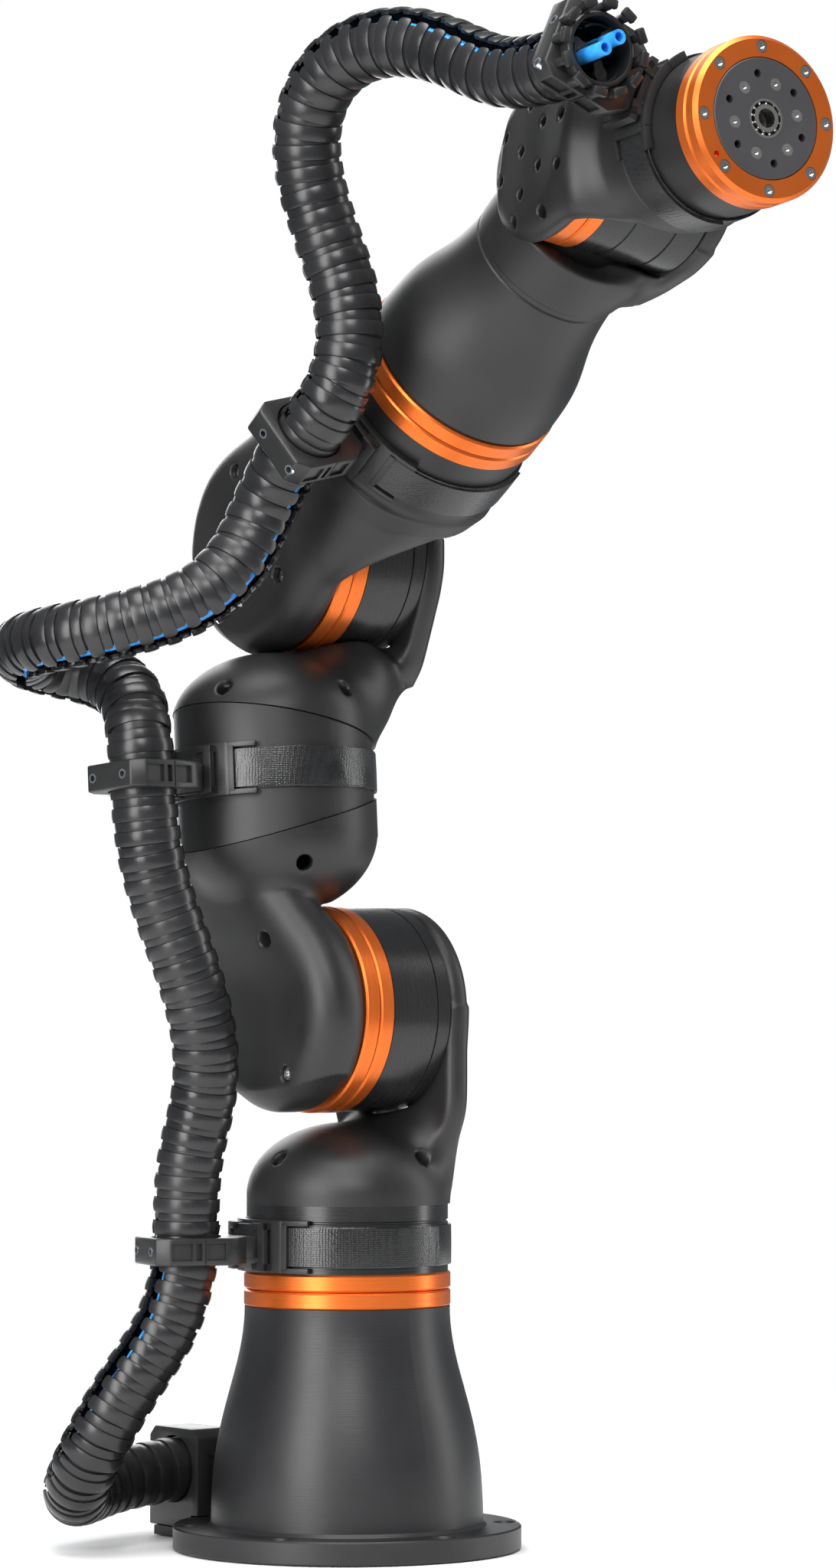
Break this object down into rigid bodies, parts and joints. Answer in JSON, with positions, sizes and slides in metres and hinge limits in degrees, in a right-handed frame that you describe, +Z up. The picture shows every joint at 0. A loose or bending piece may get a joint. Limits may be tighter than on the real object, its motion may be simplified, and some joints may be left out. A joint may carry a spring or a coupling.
{
  "type": "collaborative robot arm",
  "caption": "Jointed six-axis collaborative robot arm with round base, black moulded links, orange joint rings and an outside energy chain to a round tool flange.",
  "frame": {"origin": "axis of joint 1 at the underside of the base flange", "axes": "+Z up along joint 1, +X the way the arm reaches at rest, +Y towards the motor side of joints 2 and 3"},
  "size_m": [0.4835, 0.2908, 0.7698],
  "materials": {
    "matte_black": "fine moulded texture",
    "joint_black": "satin turned plastic",
    "orange_anodised": "satin bright orange",
    "motor_steel": "laminated steel and copper",
    "plated_steel": "zinc plated",
    "strap_fabric": "woven hook and loop",
    "clamp_nylon": "glass filled nylon",
    "chain_nylon": "glossy moulded nylon",
    "hose_blue": "light blue polyurethane",
    "flange_black": "black anodised"
  },
  "bodies": {
    "base": {"base_housing": "matte_black", "chain_foot": "clamp_nylon", "base_chain_clamp": "clamp_nylon", "j1_ring_fixed": "orange_anodised", "j1_motor_stator": "motor_steel", "energy_chain_1": "chain_nylon"},
    "shoulder": {"j1_ring_output": "orange_anodised", "shoulder_collar": "joint_black", "shoulder_bracket": "matte_black", "shoulder_screws": "plated_steel", "j2_housing": "joint_black", "j2_ring_fixed": "orange_anodised", "j2_motor_stator": "motor_steel", "strap_1": "strap_fabric", "chain_holder_1": "clamp_nylon", "energy_chain_2": "chain_nylon"},
    "lower_arm": {"j2_ring_output": "orange_anodised", "lower_arm_cover": "matte_black", "lower_arm_tube": "matte_black", "elbow_bracket": "matte_black", "lower_arm_screws": "plated_steel", "j3_housing": "joint_black", "j3_ring_fixed": "orange_anodised", "j3_motor_stator": "motor_steel", "strap_2": "strap_fabric", "chain_holder_2": "clamp_nylon", "energy_chain_3": "chain_nylon"},
    "elbow": {"j3_ring_output": "orange_anodised", "elbow_cover": "matte_black", "elbow_screws": "plated_steel", "j4_ring_fixed": "orange_anodised", "j4_motor_stator": "motor_steel", "strap_3": "strap_fabric", "chain_holder_3": "clamp_nylon", "energy_chain_4": "chain_nylon"},
    "forearm": {"j4_ring_output": "orange_anodised", "forearm_shell": "matte_black", "wrist_bracket": "matte_black", "j5_housing": "joint_black", "j5_ring_fixed": "orange_anodised", "j5_motor_stator": "motor_steel", "energy_chain_5": "chain_nylon"},
    "wrist": {"j5_ring_output": "orange_anodised", "wrist_cover": "matte_black", "j6_housing": "joint_black", "j6_ring_fixed": "orange_anodised", "j6_motor_stator": "motor_steel", "strap_4": "strap_fabric", "chain_end_clamp": "clamp_nylon", "air_hoses": "hose_blue"},
    "tool": {"j6_ring_output": "orange_anodised", "tool_flange": "flange_black", "flange_screws": "plated_steel", "flange_bearing": "plated_steel"},
    "rotor_1": {"j1_motor_rotor": "motor_steel"},
    "rotor_2": {"j2_motor_rotor": "motor_steel"},
    "rotor_3": {"j3_motor_rotor": "motor_steel"},
    "rotor_4": {"j4_motor_rotor": "motor_steel"},
    "rotor_5": {"j5_motor_rotor": "motor_steel"},
    "rotor_6": {"j6_motor_rotor": "motor_steel"}
  },
  "joints": [
    {"name": "j1_turn", "type": "hinge", "parent": "base", "child": "shoulder", "pos_m": [0, 0, 0], "axis": [0, 0, 1], "range_deg": [-170, 170], "deforming": ["energy_chain_1"]},
    {"name": "j2_shoulder", "type": "hinge", "parent": "shoulder", "child": "lower_arm", "pos_m": [0, 0, 0.2804], "axis": [0, 1, 0], "range_deg": [-76, 110], "deforming": ["energy_chain_2"]},
    {"name": "j3_elbow", "type": "hinge", "parent": "lower_arm", "child": "elbow", "pos_m": [-0.01688, 0, 0.52181], "axis": [0, 1, 0], "range_deg": [-135, 32], "deforming": ["energy_chain_3"]},
    {"name": "j4_forearm_turn", "type": "hinge", "parent": "elbow", "child": "forearm", "pos_m": [-0.01688, -0.0053, 0.52181], "axis": [0.8271, 0, 0.5621], "range_deg": [-165, 165], "deforming": ["energy_chain_4"]},
    {"name": "j5_wrist", "type": "hinge", "parent": "forearm", "child": "wrist", "pos_m": [0.22876, -0.0053, 0.68875], "axis": [0.1193, 0.9772, -0.1755], "range_deg": [-120, 57], "deforming": ["energy_chain_5"]},
    {"name": "j6_tool_turn", "type": "hinge", "parent": "wrist", "child": "tool", "pos_m": [0.22876, -0.0053, 0.68875], "axis": [0.9921, -0.1102, 0.0604], "range_deg": [-179, 179]},
    {"name": "rotor_1_spin", "type": "hinge", "parent": "base", "child": "rotor_1", "pos_m": [0, 0, 0], "axis": [0, 0, 1], "range_deg": [-8508.5, 8508.5]},
    {"name": "rotor_2_spin", "type": "hinge", "parent": "shoulder", "child": "rotor_2", "pos_m": [0, 0, 0.2804], "axis": [0, 1, 0], "range_deg": [-5505.5, 5505.5]},
    {"name": "rotor_3_spin", "type": "hinge", "parent": "lower_arm", "child": "rotor_3", "pos_m": [-0.01688, 0, 0.52181], "axis": [0, 1, 0], "range_deg": [-6756.75, 6756.75]},
    {"name": "rotor_4_spin", "type": "hinge", "parent": "elbow", "child": "rotor_4", "pos_m": [-0.01688, -0.0053, 0.52181], "axis": [0.8271, 0, 0.5621], "range_deg": [-8258.25, 8258.25]},
    {"name": "rotor_5_spin", "type": "hinge", "parent": "forearm", "child": "rotor_5", "pos_m": [0.22876, -0.0053, 0.68875], "axis": [0.1193, 0.9772, -0.1755], "range_deg": [-6006, 6006]},
    {"name": "rotor_6_spin", "type": "hinge", "parent": "wrist", "child": "rotor_6", "pos_m": [0.22876, -0.0053, 0.68875], "axis": [0.9921, -0.1102, 0.0604], "range_deg": [-8958.95, 8958.95]}
  ],
  "couplings": [
    {"joint": "rotor_1_spin", "follows": "j1_turn", "ratio": -50},
    {"joint": "rotor_2_spin", "follows": "j2_shoulder", "ratio": -50},
    {"joint": "rotor_3_spin", "follows": "j3_elbow", "ratio": -50},
    {"joint": "rotor_4_spin", "follows": "j4_forearm_turn", "ratio": -50},
    {"joint": "rotor_5_spin", "follows": "j5_wrist", "ratio": -50},
    {"joint": "rotor_6_spin", "follows": "j6_tool_turn", "ratio": -50}
  ]
}
